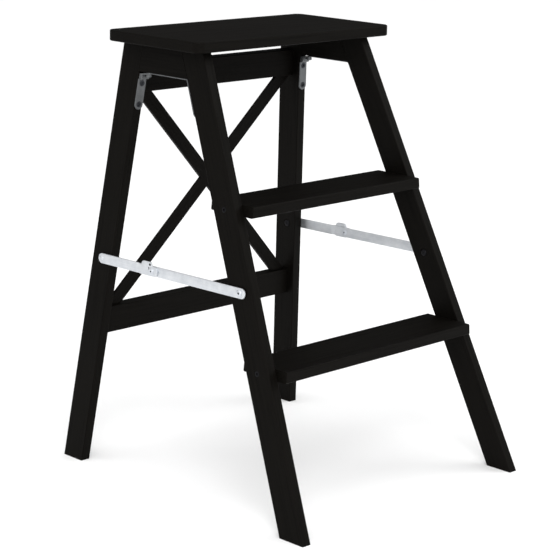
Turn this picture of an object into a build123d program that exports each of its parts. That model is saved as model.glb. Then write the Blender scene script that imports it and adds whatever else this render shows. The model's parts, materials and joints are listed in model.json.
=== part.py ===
from build123d import *
import os
from math import atan, cos, degrees, radians, sin, tan

# Folding wooden step ladder: two treads and a standing top.  Millimetres, +Z up.
# X is the width, -Y the climber's side, +Y the back.  The origin is on the floor,
# at the middle of the footprint.

# ---- driving dimensions -------------------------------------------------------------
HEIGHT = 630.0
FOOTPRINT_DEPTH = 492.5
FOOT_HALF_WIDTH = 224.5
FRONT_LEAN = 23.7
REAR_LEAN = 5.7
SPLAY = 5.7

STOCK_WIDTH = 40.0
STOCK_THICKNESS = 15.0
STILE_EASE = 1.0
APRON_WIDTH = 40.5
TREAD_EASE = 2.0

TOP_THICKNESS = 15.5
TOP_HALF_WIDTH = 191.5
TOP_FRONT = 2.0
TOP_BACK = 190.5
TOP_CORNER_RADIUS = 12.0
TOP_GAP_OVER_LEG = 2.0

TREAD_THICKNESS = 15.5
TREAD_DEPTH = 81.0
TREAD_TOPS = {"lower": 213.7, "upper": 418.2}

STRETCHER_BOTTOM = 189.3
CROSSBAR_BOTTOM = 544.3
SLAT_WIDTH = 19.7
SLAT_THICKNESS = 5.0
SLAT_TOP_X = 139.7
SLAT_FOOT_X = 169.2

STOP_GAP = 0.2
PIN_DROP = 8.3
PIN_TO_LEG = 4.5
BARREL_RADIUS = 3.4
PIN_RADIUS = 1.75
PIN_CLEARANCE = 0.05
HINGE_WIDTH = 14.0
KNUCKLE_GAP = 0.2
LEAF_THICKNESS = 2.0
STRAP_THICKNESS = 1.4
LEG_LEAF_LENGTH = 47.0
APRON_LEAF_LENGTH = 19.5
APRON_LEAF_CORNER = 2.0
APRON_LEAF_TILT = 8.4
STRAP_DROP = 56.0
STRAP_START = 20.2
OVERRUN = 1.5
LEAF_SCREW_PLACES = (9.4, 39.6)
APRON_LEAF_SCREW_PLACE = 10.0
STRAP_SCREW_PLACES = (14.0, 44.0)

STAY_FRONT_HEIGHT = 306.5
STAY_REAR_HEIGHT = 303.0
STAY_REAR_INSET = 3.5
STAY_FRONT_OVERHANG = 4.0
STAY_INNER_TAIL = 13.0
STAY_OUTER_NOSE = 5.5
STAY_KNUCKLE_Y = 84.0
STAY_WIDTH = 14.5
STAY_THICKNESS = 2.0
STAY_GAP = 0.05
STAY_KNUCKLE_RADIUS = 8.0
TAB_HEIGHT = 6.3
TAB_BACK = 20.5
TAB_FRONT = 1.0
TAB_CORNER = 3.6
TAB_PIN_RADIUS = 1.8
TAB_PIN_RISE = 9.0
TAB_PIN_BACK = 2.6
TAB_PIN_PROUD = 0.4
PIVOT_RADIUS = 3.0
PIVOT_CLEARANCE = 0.06
RIVET_HEAD_RADIUS = 5.0
RIVET_HEAD_HEIGHT = 1.6
SPOT_RADIUS = 6.2
SPOT_DEPTH = 0.8
WASHER_RADIUS = 5.8
WASHER_THICKNESS = 2.0

DOWEL_RADIUS = 3.0
DOWEL_HALF_LENGTH = 10.0
TREAD_DOWEL_SPACING = 11.0
RAIL_DOWEL_SPACING = 12.0
BRACE_PIN_RADIUS = 1.5
BRACE_PIN_HALF_LENGTH = 9.0
TREAD_SCREW = {"head": 3.8, "sink": 2.4, "shank": 2.0, "length": 42.0}
SMALL_SCREW = {"head": 4.0, "sink": 1.5, "shank": 1.5, "length": 14.0}
CAP_SCREW = {"head": 3.6, "rise": 4.4, "ease": 0.8, "shank": 1.5, "length": 12.0}

# ---- geometry that follows from them ------------------------------------------------
UNDERSIDE = HEIGHT - TOP_THICKNESS
APRON_BOTTOM = UNDERSIDE - APRON_WIDTH
FRONT_SLOPE = tan(radians(FRONT_LEAN))
REAR_SLOPE = tan(radians(REAR_LEAN))
SPLAY_SLOPE = tan(radians(SPLAY))
STILE_LEVEL_WIDTH = STOCK_WIDTH / cos(radians(FRONT_LEAN))
LEG_LEVEL_WIDTH = STOCK_WIDTH / cos(radians(REAR_LEAN))
LEVEL_THICKNESS = STOCK_THICKNESS / cos(radians(SPLAY))
REACH = 800.0

LEG_DOWN = Vector(0, sin(radians(REAR_LEAN)), -cos(radians(REAR_LEAN)))
LEG_FORWARD = Vector(0, -cos(radians(REAR_LEAN)), -sin(radians(REAR_LEAN)))
STILE_DOWN = Vector(0, -sin(radians(FRONT_LEAN)), -cos(radians(FRONT_LEAN)))
STILE_BACKWARD = Vector(0, cos(radians(FRONT_LEAN)), -sin(radians(FRONT_LEAN)))


def stile_front(z):
    """Y of the front stiles' front edge at height z."""
    return -FOOTPRINT_DEPTH / 2 + FRONT_SLOPE * z


def stile_middle(z):
    return stile_front(z) + STILE_LEVEL_WIDTH / 2


def stile_back(z):
    return stile_front(z) + STILE_LEVEL_WIDTH


def leg_back(z):
    """Y of the rear legs' back edge at height z."""
    return FOOTPRINT_DEPTH / 2 - REAR_SLOPE * z


def leg_middle(z):
    return leg_back(z) - LEG_LEVEL_WIDTH / 2


def leg_front(z):
    return leg_back(z) - LEG_LEVEL_WIDTH


def outer_x(z):
    """X of the splayed outer faces at height z."""
    return FOOT_HALF_WIDTH - SPLAY_SLOPE * z


def middle_x(z):
    return outer_x(z) - LEVEL_THICKNESS / 2


def inner_x(z):
    return outer_x(z) - LEVEL_THICKNESS


PIN_Z = APRON_BOTTOM - PIN_DROP
PIN_Y = leg_front(PIN_Z) - PIN_TO_LEG / cos(radians(REAR_LEAN))
HINGE_X = middle_x(PIN_Z)

# The underside of the apron leaf: local Y runs back along it, local Z up through it.
LEAF_UP = Vector(0, sin(radians(APRON_LEAF_TILT)), cos(radians(APRON_LEAF_TILT)))
LEAF_PLANE = Plane(origin=Vector(HINGE_X, PIN_Y, PIN_Z) + LEAF_UP * BARREL_RADIUS, x_dir=(1, 0, 0), z_dir=LEAF_UP)

# The plane midway through the rear legs: X across, local Y up the legs.
REAR_PLANE = Plane(origin=(0, leg_middle(0), 0), x_dir=(1, 0, 0), z_dir=LEG_FORWARD)

# The stays lie in upright planes, square to the hinge axis.
FRONT_ARM_X = outer_x(STAY_FRONT_HEIGHT) - SPOT_DEPTH + WASHER_THICKNESS + STAY_GAP
REAR_ARM_X = FRONT_ARM_X + STAY_THICKNESS + STAY_GAP
FRONT_PIVOT = (stile_middle(STAY_FRONT_HEIGHT), STAY_FRONT_HEIGHT)
REAR_PIVOT = (leg_middle(STAY_REAR_HEIGHT) - STAY_REAR_INSET, STAY_REAR_HEIGHT)
STAY_SLOPE = (REAR_PIVOT[1] - FRONT_PIVOT[1]) / (REAR_PIVOT[0] - FRONT_PIVOT[0])
KNUCKLE = (STAY_KNUCKLE_Y, FRONT_PIVOT[1] + STAY_SLOPE * (STAY_KNUCKLE_Y - FRONT_PIVOT[0]))
TAB_PIN = (KNUCKLE[0] + TAB_PIN_BACK, KNUCKLE[1] + TAB_PIN_RISE)

nodes = {}


# ---- helpers ------------------------------------------------------------------------
def outline(points):
    return make_face(Polyline(*points, close=True))


def side_prism(points):
    """A side-view outline (Y, Z), carried right across the right-hand half."""
    return extrude(Plane.YZ * outline(points), REACH)


def front_prism(points):
    """A front-view outline (X, Z), carried from front to back."""
    return extrude(Plane.XZ * outline(points), REACH, both=True)


def splayed_slab():
    """The leaning layer that the right-hand stile, apron and leg are sawn from."""
    low, high = -REACH, REACH
    inner_edge = [(inner_x(low), low), (inner_x(high), high)]
    outer_edge = [(outer_x(high), high), (outer_x(low), low)]
    return front_prism(inner_edge + outer_edge)


def between_sides():
    """The space between the inner faces of the two sides."""
    low, high = -REACH, REACH
    right_edge = [(inner_x(low), low), (inner_x(high), high)]
    left_edge = [(-inner_x(high), high), (-inner_x(low), low)]
    return front_prism(right_edge + left_edge)


def mirrored(shape):
    return mirror(shape, about=Plane.YZ)


def both_sides(shapes):
    return shapes + [mirrored(shape) for shape in shapes]


def cut(body, tools):
    for tool in tools:
        body = body - tool
    return body


def place(shape, origin, direction):
    """Set a shape made along +Z at origin, pointing along direction."""
    return Plane(origin=origin, z_dir=direction) * shape


def rod(radius, start, direction, length):
    return place(Pos(0, 0, length / 2) * Cylinder(radius, length), start, direction)


def dowel(centre, direction):
    return place(Cylinder(DOWEL_RADIUS, 2 * DOWEL_HALF_LENGTH), centre, direction)


def screw(size, head_centre, outward):
    """A countersunk screw whose head's flat face is centred on head_centre."""
    head = Pos(0, 0, -size["sink"] / 2) * Cone(size["shank"], size["head"], size["sink"])
    body_length = size["length"] - size["sink"]
    body = Pos(0, 0, -size["sink"] - body_length / 2) * Cylinder(size["shank"], body_length)
    return place(head + body, head_centre, outward)


def cap_screw(seat, outward):
    """A screw with a tall straight-sided head that stands on seat."""
    head = Pos(0, 0, CAP_SCREW["rise"] / 2) * Cylinder(CAP_SCREW["head"], CAP_SCREW["rise"])
    head = fillet(head.edges().sort_by(Axis.Z)[-1], CAP_SCREW["ease"])
    body = Pos(0, 0, -CAP_SCREW["length"] / 2) * Cylinder(CAP_SCREW["shank"], CAP_SCREW["length"])
    return place(head + body, seat, outward)


def domed_head(radius, height):
    """A round-topped rivet head standing on z = 0."""
    ball_radius = (radius ** 2 + height ** 2) / (2 * height)
    ball = Pos(0, 0, height - ball_radius) * Sphere(ball_radius)
    return ball & (Pos(0, 0, height / 2) * Cylinder(radius, height))


def eased(board, direction, radius):
    """Round the long edges of a board, those that run along direction."""
    along = Vector(*direction).normalized()
    long_edges = [edge for edge in board.edges() if abs((edge % 0.5).dot(along)) > cos(radians(2 * SPLAY))]
    return fillet(long_edges, radius)


def keep(name, shape):
    nodes[name] = shape


def keep_pair(name, right_shape):
    keep("right_" + name, right_shape)
    keep("left_" + name, mirrored(right_shape))


def keep_group(name, shapes):
    keep(name, Compound(children=[solid for shape in shapes for solid in shape.solids()]))


# ---- fasteners and dowels, right-hand side ------------------------------------------
def tread_fasteners():
    """Per tread: one screw through the stile and two dowels, square to the stile's face."""
    inward = Vector(-cos(radians(SPLAY)), 0, -sin(radians(SPLAY)))
    screws, dowels = [], []
    for top in TREAD_TOPS.values():
        z = top - TREAD_THICKNESS / 2
        screws.append(screw(TREAD_SCREW, (outer_x(z), stile_middle(z), z), inward * -1))
        for offset in (-TREAD_DOWEL_SPACING, TREAD_DOWEL_SPACING):
            dowels.append(dowel((inner_x(z), stile_middle(z) + offset, z), (1, 0, 0)))
    return screws, dowels


def top_dowels():
    """Upright dowels from the top board into the stile, and into the apron."""
    places = [stile_middle(UNDERSIDE), (stile_back(UNDERSIDE) + leg_front(UNDERSIDE)) / 2]
    return [dowel((middle_x(UNDERSIDE), y, UNDERSIDE), (0, 0, 1)) for y in places]


def apron_dowels():
    heights = [APRON_BOTTOM + APRON_WIDTH * share for share in (0.3, 0.7)]
    return [dowel((middle_x(z), stile_back(z), z), (0, 1, 0)) for z in heights]


def rail_dowels():
    """Two dowels into each end of both rails of the rear frame."""
    dowels = []
    for bottom in (STRETCHER_BOTTOM, CROSSBAR_BOTTOM):
        middle = bottom + STOCK_WIDTH / 2
        for offset in (-RAIL_DOWEL_SPACING, RAIL_DOWEL_SPACING):
            z = (middle + offset) * cos(radians(REAR_LEAN))
            dowels.append(dowel((inner_x(z), leg_middle(z), z), (1, 0, 0)))
    return dowels


def brace_pins():
    """A thin peg from each slat end into the rail it stands against."""
    ends = [(SLAT_TOP_X, CROSSBAR_BOTTOM), (SLAT_FOOT_X, STRETCHER_BOTTOM + STOCK_WIDTH)]
    peg = Cylinder(BRACE_PIN_RADIUS, 2 * BRACE_PIN_HALF_LENGTH)
    return [REAR_PLANE * (Pos(x, up, 0) * (Rot(90, 0, 0) * peg)) for x, up in ends]


# ---- hinges, right-hand side --------------------------------------------------------
def knuckle(middle, width):
    """A tube of that width around the hinge pin, with its middle at X = middle."""
    tube = Cylinder(BARREL_RADIUS, width) - Cylinder(PIN_RADIUS + PIN_CLEARANCE, width)
    return Pos(middle, PIN_Y, PIN_Z) * (Rot(0, 90, 0) * tube)


def knuckle_places():
    """Centre and width of the two outer knuckles and of the middle one."""
    width = HINGE_WIDTH / 3 - KNUCKLE_GAP
    return [(HINGE_X + step * HINGE_WIDTH / 3, width) for step in (-1, 0, 1)]


def strip(width, length, thickness):
    """A flat strip from the origin along +Y, round at its far end, on z = 0."""
    flat = Pos(0, (length - width / 2) / 2) * Rectangle(width, length - width / 2)
    tip = Pos(0, length - width / 2) * Circle(width / 2)
    return extrude(flat + tip, thickness)


def turning_space(middle, width):
    """The space that a knuckle of the other leaf turns in."""
    room = Cylinder(BARREL_RADIUS + 2 * KNUCKLE_GAP, width + 2 * KNUCKLE_GAP)
    return Pos(middle, PIN_Y, PIN_Z) * (Rot(0, 90, 0) * room)


def pin_bore(radius):
    return Pos(HINGE_X, PIN_Y, PIN_Z) * (Rot(0, 90, 0) * Cylinder(radius, REACH))


def leg_leaf():
    """Leaf on the leg's front edge, running down the splayed leg from the middle knuckle."""
    first, centre, last = knuckle_places()
    face = Plane(origin=(HINGE_X, leg_front(PIN_Z), PIN_Z), x_dir=(-1, 0, 0), z_dir=LEG_FORWARD)
    leaf = face * (Rot(0, 0, SPLAY) * strip(HINGE_WIDTH, LEG_LEAF_LENGTH, LEAF_THICKNESS))
    leaf = cut(leaf, [turning_space(*first), turning_space(*last)])
    return (leaf + knuckle(*centre)) - pin_bore(PIN_RADIUS + PIN_CLEARANCE)


def neck(middle, width):
    """What joins an outer knuckle to the leaf over it."""
    rise = BARREL_RADIUS + LEAF_THICKNESS / 2
    return Pos(middle, PIN_Y - BARREL_RADIUS / 2, PIN_Z + rise / 2) * Box(width, BARREL_RADIUS, rise)


def apron_leaf():
    """Short leaf that slopes from the two outer knuckles up to the apron's underside."""
    first, centre, last = knuckle_places()
    length = APRON_LEAF_LENGTH + OVERRUN
    leaf = Box(HINGE_WIDTH, length, LEAF_THICKNESS)
    leaf = fillet(leaf.edges().filter_by(Axis.Z).sort_by(Axis.Y)[:2], APRON_LEAF_CORNER)
    leaf = LEAF_PLANE * (Pos(0, OVERRUN - length / 2, LEAF_THICKNESS / 2) * leaf)
    for place_and_width in (first, last):
        leaf = leaf + knuckle(*place_and_width) + neck(*place_and_width)
    return leaf - pin_bore(PIN_RADIUS)


def corner_strap():
    """Thin strap along the apron's underside, bent down the stile's back edge."""
    corner = Vector(HINGE_X, stile_back(APRON_BOTTOM), APRON_BOTTOM)
    run = PIN_Y - STRAP_START - corner.Y
    level = Box(HINGE_WIDTH, run, STRAP_THICKNESS)
    level = Pos(HINGE_X, corner.Y + run / 2, APRON_BOTTOM - STRAP_THICKNESS / 2) * level
    face = Plane(origin=corner, x_dir=(1, 0, 0), z_dir=STILE_BACKWARD)
    drop = face * (Rot(0, 0, -SPLAY) * strip(HINGE_WIDTH, STRAP_DROP, STRAP_THICKNESS))
    above = Pos(HINGE_X, corner.Y, APRON_BOTTOM + REACH / 2) * Box(REACH, REACH, REACH)
    return (level + drop) - above


def splayed_run(start, down, distance):
    """The point that far along a splayed member's edge from start, down its length."""
    return start + down * (distance * cos(radians(SPLAY))) + Vector(distance * sin(radians(SPLAY)), 0, 0)


def hinge_screws():
    """Screws into the leg's front edge, up into the apron, and into the stile's back edge."""
    leg_start = Vector(HINGE_X, leg_front(PIN_Z), PIN_Z) + LEG_FORWARD * LEAF_THICKNESS
    stile_start = Vector(HINGE_X, stile_back(APRON_BOTTOM), APRON_BOTTOM) + STILE_BACKWARD * STRAP_THICKNESS
    leg = [screw(SMALL_SCREW, splayed_run(leg_start, LEG_DOWN, d), LEG_FORWARD) for d in LEAF_SCREW_PLACES]
    apron = [LEAF_PLANE * (Pos(0, -APRON_LEAF_SCREW_PLACE, 0) * cap_screw((0, 0, 0), (0, 0, -1)))]
    strap = [screw(SMALL_SCREW, splayed_run(stile_start, STILE_DOWN, d), STILE_BACKWARD)
             for d in STRAP_SCREW_PLACES]
    return leg, apron, strap


# ---- side stays, right-hand side ----------------------------------------------------
def upright(x, face, thickness):
    """A side-view face (Y, Z) standing at x and thickening outward."""
    return extrude(Plane.YZ.offset(x) * face, thickness)


def link_face(start, end, start_radius, end_radius):
    """A flat bar seen from the side, with a round end about each of two points."""
    tilt = atan(STAY_SLOPE)
    bar = Rot(0, 0, degrees(tilt)) * Rectangle((end[0] - start[0]) / cos(tilt), STAY_WIDTH)
    bar = Pos((start[0] + end[0]) / 2, (start[1] + end[1]) / 2) * bar
    return bar + Pos(*start) * Circle(start_radius) + Pos(*end) * Circle(end_radius)


def along_stay(start, distance):
    """The point that far behind start on the stay's middle line, measured level."""
    return (start[0] + distance, start[1] + STAY_SLOPE * distance)


def front_arm():
    """Inner arm, whose tail runs on behind the knuckle."""
    front_end = along_stay(FRONT_PIVOT, -STAY_FRONT_OVERHANG)
    face = link_face(front_end, along_stay(KNUCKLE, STAY_INNER_TAIL), STAY_WIDTH / 2, STAY_WIDTH / 2)
    face = face + Pos(*KNUCKLE) * Circle(STAY_KNUCKLE_RADIUS)
    running = Circle(PIVOT_RADIUS + PIVOT_CLEARANCE)
    face = face - Pos(*FRONT_PIVOT) * running - Pos(*KNUCKLE) * running
    return upright(FRONT_ARM_X, face, STAY_THICKNESS)


def rear_arm():
    """Outer arm, with a nose in front of the knuckle and a raised thumb tab over it."""
    face = link_face(along_stay(KNUCKLE, -STAY_OUTER_NOSE), REAR_PIVOT, STAY_WIDTH / 2, STAY_WIDTH / 2)
    face = face + Pos(*KNUCKLE) * Circle(STAY_KNUCKLE_RADIUS)
    rise = STAY_WIDTH / 2 + TAB_HEIGHT
    tab = RectangleRounded(TAB_BACK + TAB_FRONT, rise, TAB_CORNER)
    face = face + Pos(KNUCKLE[0] + (TAB_BACK - TAB_FRONT) / 2, KNUCKLE[1] + rise / 2) * tab
    face = face - Pos(*TAB_PIN) * Circle(TAB_PIN_RADIUS)
    face = face - Pos(*KNUCKLE) * Circle(PIVOT_RADIUS) - Pos(*REAR_PIVOT) * Circle(PIVOT_RADIUS)
    return upright(REAR_ARM_X, face, STAY_THICKNESS)


def tab_pin():
    """Dark pin set in the front corner of the thumb tab."""
    return rod(TAB_PIN_RADIUS, (REAR_ARM_X, *TAB_PIN), (1, 0, 0), STAY_THICKNESS + TAB_PIN_PROUD)


def headed_rod(x_start, x_end, y, z, head_at_start, head_at_end):
    """A plain rod along X with a domed head on either end or both."""
    body = rod(PIVOT_RADIUS, (x_start, y, z), (1, 0, 0), x_end - x_start)
    head = domed_head(RIVET_HEAD_RADIUS, RIVET_HEAD_HEIGHT)
    if head_at_start:
        body = body + place(head, (x_start, y, z), (-1, 0, 0))
    if head_at_end:
        body = body + place(head, (x_end, y, z), (1, 0, 0))
    return body


def outer_spot_x(z):
    """X of the seat, square to X, that a washer has in the outer face."""
    return outer_x(z) - SPOT_DEPTH


def inner_spot_x(z):
    """X of the seat that a bolt's inner head has in the inner face."""
    return inner_x(z) + SPOT_DEPTH


def stay_front_bolt():
    outer_end = FRONT_ARM_X + STAY_THICKNESS + STAY_GAP
    return headed_rod(inner_spot_x(STAY_FRONT_HEIGHT), outer_end, *FRONT_PIVOT, True, True)


def stay_rear_bolt():
    """Bolt through the leg and its spacer; the arm's own rivet meets it end to end."""
    return headed_rod(inner_spot_x(STAY_REAR_HEIGHT), REAR_ARM_X - STAY_GAP, *REAR_PIVOT, True, False)


def rear_arm_rivet():
    return headed_rod(REAR_ARM_X, REAR_ARM_X + STAY_THICKNESS, *REAR_PIVOT, False, True)


def knuckle_rivet():
    return headed_rod(FRONT_ARM_X - STAY_GAP, REAR_ARM_X + STAY_THICKNESS, *KNUCKLE, True, True)


def washer(pivot, outer_end):
    """A ring around a bolt, from its seat out to X = outer_end."""
    seat = outer_spot_x(pivot[1])
    ring = Cylinder(WASHER_RADIUS, outer_end - seat) - Cylinder(PIVOT_RADIUS, outer_end - seat)
    return Pos((seat + outer_end) / 2, *pivot) * (Rot(0, 90, 0) * ring)


def spot_faces(pivot):
    """Shallow seats, square to X, on both faces of a splayed member."""
    outer = rod(SPOT_RADIUS, (outer_spot_x(pivot[1]), *pivot), (1, 0, 0), STOCK_THICKNESS)
    inner = rod(SPOT_RADIUS, (inner_spot_x(pivot[1]), *pivot), (-1, 0, 0), STOCK_THICKNESS)
    return [outer, inner]


# ---- timber -------------------------------------------------------------------------
def stile():
    points = [(stile_front(0), 0), (stile_back(0), 0),
              (stile_back(UNDERSIDE), UNDERSIDE), (stile_front(UNDERSIDE), UNDERSIDE)]
    return eased(side_prism(points) & splayed_slab(), STILE_DOWN, STILE_EASE)


def leg():
    top = UNDERSIDE - TOP_GAP_OVER_LEG
    points = [(leg_front(0), 0), (leg_back(0), 0), (leg_back(top), top), (leg_front(top), top)]
    return eased(side_prism(points) & splayed_slab(), LEG_DOWN, STILE_EASE)


def apron():
    low, high = APRON_BOTTOM, UNDERSIDE
    points = [(stile_back(low), low), (leg_front(low) - STOP_GAP, low),
              (leg_front(high) - STOP_GAP, high), (stile_back(high), high)]
    return side_prism(points) & splayed_slab()


def top_board():
    plan = RectangleRounded(2 * TOP_HALF_WIDTH, TOP_BACK - TOP_FRONT, TOP_CORNER_RADIUS)
    board = extrude(Pos(0, (TOP_BACK + TOP_FRONT) / 2, UNDERSIDE) * plan, TOP_THICKNESS)
    rims = board.faces().sort_by(Axis.Z)[-1].edges() + board.faces().sort_by(Axis.Z)[0].edges()
    return fillet(rims, TREAD_EASE)


def tread(top):
    middle = top - TREAD_THICKNESS / 2
    board = Pos(0, stile_middle(middle), middle) * Box(REACH, TREAD_DEPTH, TREAD_THICKNESS)
    board = fillet(board.edges().filter_by(Axis.X), TREAD_EASE)
    return board & between_sides()


def rail(bottom):
    """A rail of the rear frame, centred in the depth of the legs."""
    middle = bottom + STOCK_WIDTH / 2
    board = REAR_PLANE * (Pos(0, middle, 0) * Box(REACH, STOCK_WIDTH, STOCK_THICKNESS))
    board = fillet(board.edges().filter_by(Axis.X), STILE_EASE)
    return board & between_sides()


def full_slat(direction):
    """One brace slat before its half lap; direction is the side its top end is on."""
    top, foot = CROSSBAR_BOTTOM, STRETCHER_BOTTOM + STOCK_WIDTH
    run = Vector(SLAT_TOP_X + SLAT_FOOT_X, top - foot, 0)
    half_cut = SLAT_WIDTH / 2 * run.length / run.Y
    points = [(SLAT_TOP_X - half_cut, top), (SLAT_TOP_X + half_cut, top),
              (-SLAT_FOOT_X + half_cut, foot), (-SLAT_FOOT_X - half_cut, foot)]
    face = outline([(direction * x, up) for x, up in points])
    return (REAR_PLANE * extrude(face, SLAT_THICKNESS / 2, both=True)) & between_sides()


def slat_crossing():
    """How far up the rear frame the two slats' middle lines meet."""
    foot = STRETCHER_BOTTOM + STOCK_WIDTH
    return foot + (CROSSBAR_BOTTOM - foot) * SLAT_FOOT_X / (SLAT_TOP_X + SLAT_FOOT_X)


def half_lap(own, other, layer):
    """Take away the lap where the other slat passes, in front (+1) or behind (-1)."""
    half = REAR_PLANE * (Pos(0, 0, layer * REACH / 2) * Box(2 * REACH, 2 * REACH, REACH))
    return own - (other & half)


# ---- assembly -----------------------------------------------------------------------
def build():
    tread_screws, tread_dowels = tread_fasteners()
    tops, aprons, rails, pegs = top_dowels(), apron_dowels(), rail_dowels(), brace_pins()
    leg_screws, apron_screws, strap_screws = hinge_screws()
    front_bolt, rear_bolt = stay_front_bolt(), stay_rear_bolt()

    keep("top_plate", cut(top_board(), both_sides(tops)))
    stile_bores = tread_screws + tread_dowels + tops[:1] + aprons + strap_screws + [front_bolt]
    keep_pair("front_stile", cut(stile(), stile_bores + spot_faces(FRONT_PIVOT)))
    keep_pair("side_apron", cut(apron(), tops[1:] + aprons + apron_screws))
    for name, top in TREAD_TOPS.items():
        keep(name + "_tread", cut(tread(top), both_sides(tread_screws + tread_dowels)))

    keep_pair("rear_leg", cut(leg(), rails + leg_screws + [rear_bolt] + spot_faces(REAR_PIVOT)))
    keep("upper_rear_crossbar", cut(rail(CROSSBAR_BOTTOM), both_sides(rails + pegs)))
    keep("lower_rear_stretcher", cut(rail(STRETCHER_BOTTOM), both_sides(rails + pegs)))
    rising, falling = full_slat(1), full_slat(-1)
    lap_pin = REAR_PLANE * (Pos(0, slat_crossing(), 0) * Cylinder(BRACE_PIN_RADIUS, SLAT_THICKNESS))
    pegs_and_pin = both_sides(pegs) + [lap_pin]
    keep("brace_slat_rising", cut(half_lap(rising, falling, 1), pegs_and_pin))
    keep("brace_slat_falling", cut(half_lap(falling, rising, -1), pegs_and_pin))

    keep_pair("corner_strap", cut(corner_strap(), apron_screws + strap_screws))
    keep_pair("hinge_apron_leaf", cut(apron_leaf(), apron_screws))
    keep_pair("hinge_leg_leaf", cut(leg_leaf(), leg_screws))
    keep_pair("hinge_pin", rod(PIN_RADIUS, (HINGE_X - HINGE_WIDTH / 2, PIN_Y, PIN_Z), (1, 0, 0), HINGE_WIDTH))

    keep_pair("stay_front_arm", front_arm())
    keep_pair("stay_rear_arm", rear_arm())
    keep_pair("stay_knuckle_rivet", knuckle_rivet())
    keep_pair("stay_tab_pin", tab_pin())
    keep_pair("stay_front_bolt", front_bolt)
    keep_pair("stay_front_washer", washer(FRONT_PIVOT, FRONT_ARM_X - STAY_GAP))
    keep_pair("stay_rear_bolt", rear_bolt)
    keep_pair("stay_rear_spacer", washer(REAR_PIVOT, REAR_ARM_X - STAY_GAP))
    keep_pair("stay_rear_rivet", rear_arm_rivet())

    keep_group("tread_screws", both_sides(tread_screws))
    keep_group("tread_dowels", both_sides(tread_dowels))
    keep_group("top_dowels", both_sides(tops))
    keep_group("apron_dowels", both_sides(aprons))
    keep_group("rail_dowels", both_sides(rails))
    keep_group("brace_pegs", pegs_and_pin)
    keep_group("leg_leaf_screws", both_sides(leg_screws))
    keep_group("apron_leaf_screws", both_sides(apron_screws))
    keep_group("corner_strap_screws", both_sides(strap_screws))


build()
os.makedirs("parts", exist_ok=True)
for node_name, node_shape in nodes.items():
    export_step(node_shape, "parts/" + node_name + ".step")
print(len(nodes), "nodes; hinge pin at", round(PIN_Y, 2), round(PIN_Z, 2))
print("stay pivots", FRONT_PIVOT, KNUCKLE, REAR_PIVOT, "arm planes", FRONT_ARM_X, REAR_ARM_X)
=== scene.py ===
# %% [markdown]
# # A folding wooden step ladder
# This lesson dresses a finished CAD model. The boards, hinges and side stays already
# exist as exact solids, and they are loaded as a frame that is never moved. Wood keeps
# its CAD shape and only gets a finish. The small metal parts are made again here,
# because rolled edges, pressed screw recesses and bent straps are what the eye looks
# for in metal, and they are easier to shape with Blender's mesh operators.

import json
from math import cos, pi, radians, sin

import bmesh
import bpy
from mathutils import Matrix, Vector


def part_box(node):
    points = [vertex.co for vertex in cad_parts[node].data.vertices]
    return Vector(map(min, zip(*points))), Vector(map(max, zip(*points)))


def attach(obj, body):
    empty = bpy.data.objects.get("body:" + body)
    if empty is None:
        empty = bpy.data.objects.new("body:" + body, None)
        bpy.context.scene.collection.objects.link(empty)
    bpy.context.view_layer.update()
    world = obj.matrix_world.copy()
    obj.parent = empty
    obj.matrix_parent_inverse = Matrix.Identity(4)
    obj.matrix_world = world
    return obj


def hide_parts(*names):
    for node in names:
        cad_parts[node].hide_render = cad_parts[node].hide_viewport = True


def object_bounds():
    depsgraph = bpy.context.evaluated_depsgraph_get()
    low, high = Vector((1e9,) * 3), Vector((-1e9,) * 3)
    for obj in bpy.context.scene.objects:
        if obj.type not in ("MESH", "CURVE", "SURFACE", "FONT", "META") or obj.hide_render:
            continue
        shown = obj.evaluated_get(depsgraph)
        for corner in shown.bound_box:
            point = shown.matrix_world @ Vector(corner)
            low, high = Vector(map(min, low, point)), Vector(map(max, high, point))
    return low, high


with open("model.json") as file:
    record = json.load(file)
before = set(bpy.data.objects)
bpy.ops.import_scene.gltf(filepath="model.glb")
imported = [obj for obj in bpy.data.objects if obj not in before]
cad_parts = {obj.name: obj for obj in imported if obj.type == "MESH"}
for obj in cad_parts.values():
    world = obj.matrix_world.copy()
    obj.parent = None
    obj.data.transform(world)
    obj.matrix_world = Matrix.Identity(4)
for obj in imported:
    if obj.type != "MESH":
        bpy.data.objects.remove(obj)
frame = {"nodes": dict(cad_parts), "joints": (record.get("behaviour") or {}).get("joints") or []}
nodes = frame["nodes"]
joints = {joint["name"]: joint for joint in frame["joints"]}
cad_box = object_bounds()
scene = bpy.context.scene
low_corner, high_corner = [tuple(round(v, 4) for v in corner) for corner in cad_box]
print(len(nodes), "CAD nodes, from", low_corner, "to", high_corner)

# %% [markdown]
# ## Directions of the boards
# Every board leans. The front stiles lean back, the rear legs lean forward, and both
# sides splay outwards towards the floor. A screw or a strap has to stand square to its
# board, so the lesson needs those directions as unit vectors. They could be measured
# from the meshes, but three angles say the same thing more clearly. All of them are
# for the right-hand side; the left-hand side is mirrored.

# %% Directions and places on the right-hand side
MM = 0.001
FRONT_LEAN = radians(23.7)
REAR_LEAN = radians(5.7)
SPLAY = radians(5.7)
X_AXIS = Vector((1, 0, 0))
Y_AXIS = Vector((0, 1, 0))
Z_AXIS = Vector((0, 0, 1))


def leaning(lean, side=1):
    """Unit vector down a splayed board that leans by that angle in the side view."""
    in_side_view = Vector((0, sin(lean), -cos(lean)))
    return (in_side_view * cos(SPLAY) + X_AXIS * side * sin(SPLAY)).normalized()


STILE_DOWN = leaning(-FRONT_LEAN)
LEG_DOWN = leaning(REAR_LEAN)
STILE_BACK = Vector((0, cos(FRONT_LEAN), -sin(FRONT_LEAN)))
LEG_FRONT = Vector((0, -cos(REAR_LEAN), -sin(REAR_LEAN)))
OUTWARD = Vector((cos(SPLAY), 0, sin(SPLAY)))

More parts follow.
